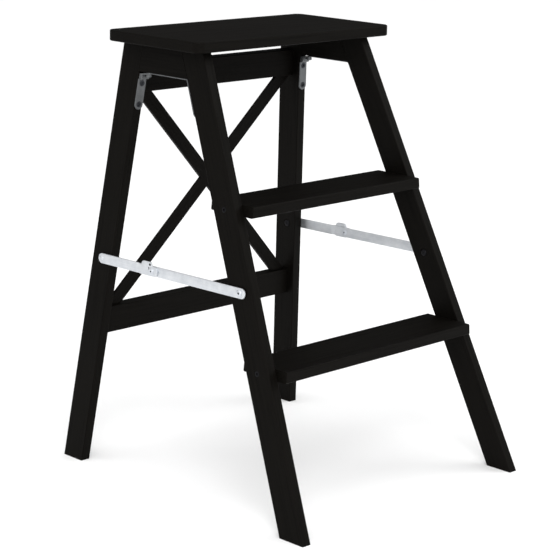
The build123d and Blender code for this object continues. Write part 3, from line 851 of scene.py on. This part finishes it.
def leg_leaf(shape):
    """Long leaf down the leg's front edge, with the middle eye."""
    half = HINGE_WIDTH / 2
    top = [(-half, LEG_LEAF_TOP, 0.5 * MM), (half, LEG_LEAF_TOP, 0.5 * MM)]
    foot = [(half, LEG_LEAF_END, 0.998 * half), (-half, LEG_LEAF_END, 0.998 * half)]
    holes = [(0, step * MM, LEG_SCREW_HOLE, 0) for step in LEG_SCREW_STEPS]
    bar = plate(shape, top + foot, LEAF_THICKNESS, 0.2 * MM, holes)
    pose(shape, bar, pin - LEG_FRONT * PIN_TO_LEG, LEG_DOWN, LEG_FRONT)
    eye(shape, 0)
    level = PIN_TO_LEG - LEAF_THICKNESS / 2
    size = (EYE_WIDTH * 0.99, 4.5 * MM, LEAF_THICKNESS * 0.96)
    neck(shape, size, pin - LEG_FRONT * level + LEG_DOWN * 2.2 * MM, LEG_DOWN, LEG_FRONT)


def apron_leaf(shape):
    """Short sloping leaf under the apron, with the two outer eyes."""
    half = HINGE_WIDTH / 2
    back = [(-half, APRON_LEAF_BACK, 0.4 * MM), (half, APRON_LEAF_BACK, 0.4 * MM)]
    front = [(half, APRON_LEAF_FRONT, 2 * MM), (-half, APRON_LEAF_FRONT, 2 * MM)]
    bar = plate(shape, back + front, LEAF_THICKNESS, 0.3 * MM)
    pose(shape, bar, pin + LEAF_UP * (EYE_RADIUS + LEAF_THICKNESS), LEAF_FORWARD, -LEAF_UP)
    rise = EYE_RADIUS + LEAF_THICKNESS / 2
    for step in (-1, 1):
        middle = step * HINGE_WIDTH / 3
        eye(shape, middle)
        centre = pin + Vector((middle, -EYE_RADIUS / 2, rise / 2))
        neck(shape, (EYE_WIDTH * 0.99, EYE_RADIUS * 0.99, rise), centre, Y_AXIS, Z_AXIS)


def hinge_pin(shape):
    """Pin with eased ends, as long as the hinge is wide."""
    half, radius, tip, ease = HINGE_WIDTH / 2, 1.7 * MM, 1.2 * MM, 0.4 * MM
    start = [(0, -half), (tip, -half), (radius, -half + ease)]
    end = [(radius, half - ease), (tip, half), (0, half)]
    pose(shape, turned(shape, start + end, 24), pin, Z_AXIS, X_AXIS)


on_both_sides(
    "hinge_leg_leaf_rolled", leg_leaf, [hinge_steel], "hinge_steel", "rear_frame",
    "hinge_leg_leaf",
)
on_both_sides(
    "hinge_apron_leaf_rolled", apron_leaf, [hinge_steel], "hinge_steel", "front_frame",
    "hinge_apron_leaf",
)
on_both_sides(
    "hinge_pin_turned", hinge_pin, [hinge_steel], "hinge_steel", "front_frame", "hinge_pin"
)

# %% [markdown]
# ## Corner straps
# A strap ties each apron to its stile. It is one flat strip that lies under the apron
# and is bent down the back of the stile. Bending is what a spin does with an open
# edge: the strip is pushed straight along the apron, spun through the corner, and
# pushed straight again. Solidify then gives it a thickness, and a bevel eases it.

# %% Bending a strip
def verts_in(geometry):
    """The vertices that an operator gave back."""
    return [item for item in geometry if isinstance(item, bmesh.types.BMVert)]


def edges_between(geometry, verts):
    """The edges that an operator gave back and whose ends are both among verts."""
    edges = [item for item in geometry if isinstance(item, bmesh.types.BMEdge)]
    return [edge for edge in edges if all(vert in verts for vert in edge.verts)]


STRAP_THICKNESS = 1.4 * MM
STRAP_DROP = 56 * MM
BEND_RADIUS = 3 * MM
apron_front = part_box("right_side_apron")[0].y
apron_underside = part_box("right_side_apron")[0].z
strap_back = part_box("right_corner_strap")[1].y


def corner_strap(shape):
    """Strip under the apron, bent down the stile, with its far end rounded."""
    under = apron_underside
    turn = pi / 2 - FRONT_LEAN
    flat_to = apron_front + BEND_RADIUS * sin(turn) / (1 + cos(turn))
    sides = [pin.x + side * HINGE_WIDTH / 2 for side in (1, -1)]
    edge = [shape.verts.new((x, strap_back, under)) for x in sides]
    edges = [shape.edges.new(edge)]
    run = bmesh.ops.extrude_edge_only(shape, edges=edges)["geom"]
    moved = verts_in(run)
    bmesh.ops.translate(shape, vec=(0, flat_to - strap_back, 0), verts=moved)
    front = edges_between(run, moved)
    bent = bmesh.ops.spin(
        shape, geom=moved + front, cent=(pin.x, flat_to, under - BEND_RADIUS), axis=(1, 0, 0),
        dvec=(0, 0, 0), angle=turn, steps=6,
    )["geom_last"]
    last = [item for item in bent if isinstance(item, bmesh.types.BMEdge)]
    fallen = verts_in(bmesh.ops.extrude_edge_only(shape, edges=last)["geom"])
    down = Vector((0, -sin(FRONT_LEAN), -cos(FRONT_LEAN)))
    bmesh.ops.translate(shape, vec=down * (STRAP_DROP - BEND_RADIUS), verts=fallen)
    for vert in shape.verts:
        vert.co.x += max(0, under - vert.co.z) * sin(SPLAY) / cos(FRONT_LEAN)
    bmesh.ops.bevel(
        shape, geom=fallen, offset=HINGE_WIDTH * 0.499, offset_type="OFFSET", segments=10,
        profile=0.5, affect="VERTICES", material=-1,
    )
    bmesh.ops.recalc_face_normals(shape, faces=shape.faces)
    bmesh.ops.solidify(shape, geom=shape.faces[:], thickness=STRAP_THICKNESS)
    bmesh.ops.recalc_face_normals(shape, faces=shape.faces)
    soften(shape, shape.faces[:], 0.3 * MM, least=radians(60))


on_both_sides(
    "corner_strap_bent", corner_strap, [hinge_steel], "hinge_steel", "front_frame",
    "corner_strap",
)

# %% [markdown]
# ## A screw head
# Every flat screw has a cross recess. A boolean could cut it, but a small grid does it
# with clean faces: a five by five grid is pulled onto a circle, the cross of inner
# squares is extruded down for the recess, and the faces left lying over it are removed.
# The rim is drawn down into the cone of a countersunk screw.

# %% A screw head with a cross recess
def screw_head(shape, radius, recess, dome, skirt, skirt_radius):
    """A head with a cross recess, its seat on Z = 0. Gives its vertices."""
    before = set(shape.verts)
    top = bmesh.ops.create_grid(shape, x_segments=5, y_segments=5, size=radius)["verts"]
    for vert in top:
        square = max(abs(vert.co.x), abs(vert.co.y))
        if square > 0.9 * radius:
            vert.co = vert.co.normalized() * radius
        elif square > 0.4 * radius:
            vert.co *= 0.93
    for vert in top:
        vert.co.z = dome * (1 - (vert.co.length / radius) ** 2)
    faces = [face for face in shape.faces if not before.intersection(face.verts)]
    reach, half = 0.7 * radius, 0.3 * radius
    cross = []
    for face in faces:
        x, y = abs(face.calc_center_median().x), abs(face.calc_center_median().y)
        if min(x, y) < half and max(x, y) < reach:
            cross.append(face)
    floor = verts_in(bmesh.ops.extrude_face_region(shape, geom=cross)["geom"])
    bmesh.ops.translate(shape, vec=(0, 0, -recess), verts=floor)
    bmesh.ops.scale(shape, vec=(0.7, 0.7, 1), verts=floor)
    bmesh.ops.delete(shape, geom=cross, context="FACES")
    rim = [edge for edge in shape.edges if edge.is_boundary and edge.verts[0] not in before]
    for height, width in ((-0.12 * skirt, 1.0), (-skirt, skirt_radius / radius)):
        ring = bmesh.ops.extrude_edge_only(shape, edges=rim)["geom"]
        lower = verts_in(ring)
        rim = edges_between(ring, lower)
        for vert in lower:
            vert.co = (vert.co.x * width, vert.co.y * width, height)
    bmesh.ops.holes_fill(shape, edges=rim)
    return [vert for vert in shape.verts if vert not in before]


print("a screw head is a grid of five by five faces")

# %% [markdown]
# ## Places of the screws
# Two countersunk screws hold each long leaf and two hold each strap. One screw with a
# tall head holds each short leaf, and one screw goes through the stile into each end of
# each tread. The places are steps down the boards from the hinge, so that they follow
# when the hinge moves. The straps' screws stand a little higher than the others, with a
# shallow recess, because the thin strap has no room for a deep one.

# %% Screws of the hinges, straps and treads
CONE_DEPTH = 1.4 * MM
STRAP_SCREW_STEPS = (14, 44)
CAP_PLACE = 10


def screws(shape, places, normal, radius, proud, dome, recess):
    """Countersunk screws, whose cones go down into what they hold."""
    for place in places:
        head = screw_head(shape, radius, recess, dome, proud + CONE_DEPTH, 0.5 * radius)
        bmesh.ops.translate(shape, vec=(0, 0, proud), verts=head)
        pose(shape, head, place, normal.orthogonal(), normal)


leg_face = pin - LEG_FRONT * (PIN_TO_LEG - LEAF_THICKNESS)
leg_places = [leg_face + LEG_DOWN * step * MM for step in LEG_SCREW_STEPS]
strap_face = Vector((pin.x, apron_front, apron_underside)) + STILE_BACK * STRAP_THICKNESS
strap_places = [strap_face + STILE_DOWN * step * MM for step in STRAP_SCREW_STEPS]
stile_foot_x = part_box("right_front_stile")[1].x


def leg_screws(shape):
    screws(shape, leg_places, LEG_FRONT, 4.4 * MM, 0.25 * MM, 0.35 * MM, 1.3 * MM)


def strap_screws(shape):
    screws(shape, strap_places, STILE_BACK, 4.0 * MM, 0.3 * MM, 0.6 * MM, 0.45 * MM)


def apron_screws(shape):
    """One screw with a tall straight-sided head under each apron leaf."""
    radius, rise, socket = 3.6 * MM, 4.3 * MM, 1.6 * MM
    side = [(0, 0), (radius, 0), (radius, rise - 0.9 * MM)]
    edge = [(0.93 * radius, rise - 0.35 * MM), (0.75 * radius, rise)]
    well = [(socket, rise), (0.95 * socket, rise - 1.6 * MM), (0, rise - 1.8 * MM)]
    # The socket's faces take the dark finish as painted shade.
    head = turned(shape, side + edge + well, 32, dark=socket)
    seat = pin + LEAF_UP * EYE_RADIUS + LEAF_FORWARD * CAP_PLACE * MM
    pose(shape, head, seat, LEAF_FORWARD, -LEAF_UP)


def tread_screws(shape):
    """One screw through the stile into each end of each tread."""
    places = []
    for tread in ("upper_tread", "lower_tread"):
        middle = sum(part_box(tread), Vector()) / 2
        face_x = stile_foot_x - middle.z * sin(SPLAY) / cos(SPLAY)
        places.append(Vector((face_x, middle.y, middle.z)))
    screws(shape, places, OUTWARD, 3.8 * MM, 0.05 * MM, 0.12 * MM, 1.3 * MM)


print("screws of the leg leaf at", LEG_SCREW_STEPS, "mm, of the strap at", STRAP_SCREW_STEPS, "mm")

# %% [markdown]
# ## Screws of both sides together
# The CAD holds the screws of both sides in one node, so their piece does too. The right
# side is made, copied and mirrored within one bmesh.

# %% Screws of both sides in one piece
def as_one_group(name, build, materials, body, node):
    """Screws of both sides in one piece, as their CAD node holds both."""
    shape = bmesh.new()
    build(shape)
    everything = shape.verts[:] + shape.edges[:] + shape.faces[:]
    copies = bmesh.ops.duplicate(shape, geom=everything)["geom"]
    bmesh.ops.scale(shape, vec=(-1, 1, 1), verts=verts_in(copies))
    print(name, "has", finish_piece(name, shape, materials, body, [node]), "faces")


as_one_group(
    "leg_leaf_screws_cross", leg_screws, [hinge_screw_steel], "rear_frame",
    "leg_leaf_screws",
)
as_one_group(
    "apron_leaf_screws_capped", apron_screws, [hinge_steel, screw_steel],
    "front_frame", "apron_leaf_screws",
)
as_one_group(
    "corner_strap_screws_cross", strap_screws, [hinge_screw_steel],
    "front_frame", "corner_strap_screws",
)
as_one_group(
    "tread_screws_cross", tread_screws, [screw_steel], "front_frame",
    "tread_screws",
)

# %% [markdown]
# ## Floor
# A plain pale floor keeps the eye on the black wood, and its soft shadow shows where the
# feet stand. It is one large face.

# %% Floor
FLOOR_HALF_SIZE = 30


def pale_floor():
    finish = Finish("pale_floor")
    clouds = finish.noise(finish.place(scale=(3, 3, 3)), 1, 3)
    return finish.shade(
        Base_Color=finish.mix(clouds, (0.90, 0.90, 0.90), (0.94, 0.94, 0.94)),
        Roughness=0.9,
        Specular_IOR_Level=0.1,
    )


ground = bmesh.new()
bmesh.ops.create_grid(ground, x_segments=1, y_segments=1, size=FLOOR_HALF_SIZE)
floor_mesh = bpy.data.meshes.new("floor")
ground.to_mesh(floor_mesh)
ground.free()
floor_mesh.materials.append(pale_floor())
floor = bpy.data.objects.new("floor", floor_mesh)
scene.collection.objects.link(floor)
print("the floor is", 2 * FLOOR_HALF_SIZE, "m wide")

# %% [markdown]
# ## Sky and lamps
# Satin black shows mostly what it reflects, so the sky matters more than the lamps: it
# is bright above and behind the viewer, for the metal, and dim low down behind the
# ladder, so that the flat tops stay black when they are seen at a low angle. An even
# white sky would turn the tops grey. One large soft light stands at the front left and a
# weaker one at the right.

# %% Sky and lamps
def soft_sky(strength, bright_side):
    """A sky that fades from the side towards bright_side to the opposite one."""
    finish = Finish("soft_sky", bpy.data.worlds.new("soft_sky"), "Background")
    direction = finish.add("ShaderNodeTexCoord", output=0)
    sockets = {0: direction, 1: Vector(bright_side).normalized()}
    facing = finish.add("ShaderNodeVectorMath", {"operation": "DOT_PRODUCT"}, sockets, output=1)
    glow = finish.ramp(facing * 0.5 + 0.5, (0.36, 0.05), (0.72, 1))
    return finish.shade(Color=glow, Strength=strength)


def soft_light(name, place, target, size, power):
    light = bpy.data.objects.new(name, bpy.data.lights.new(name, "AREA"))
    light.data.shape = "DISK"
    light.data.size = size
    light.data.energy = power
    turn = (Vector(target) - Vector(place)).to_track_quat("-Z", "Y")
    light.matrix_world = Matrix.Translation(place) @ turn.to_matrix().to_4x4()
    scene.collection.objects.link(light)


MIDDLE = (0, 0, 0.3)
scene.world = soft_sky(1.35, (-0.6, -0.6, 0.9))
soft_light("key", (-2.2, -2.6, 2.6), MIDDLE, 2.2, 70)
soft_light("fill", (2.6, -1.4, 1.8), MIDDLE, 2.0, 22)
scene.view_settings.view_transform = "Standard"

# %% [markdown]
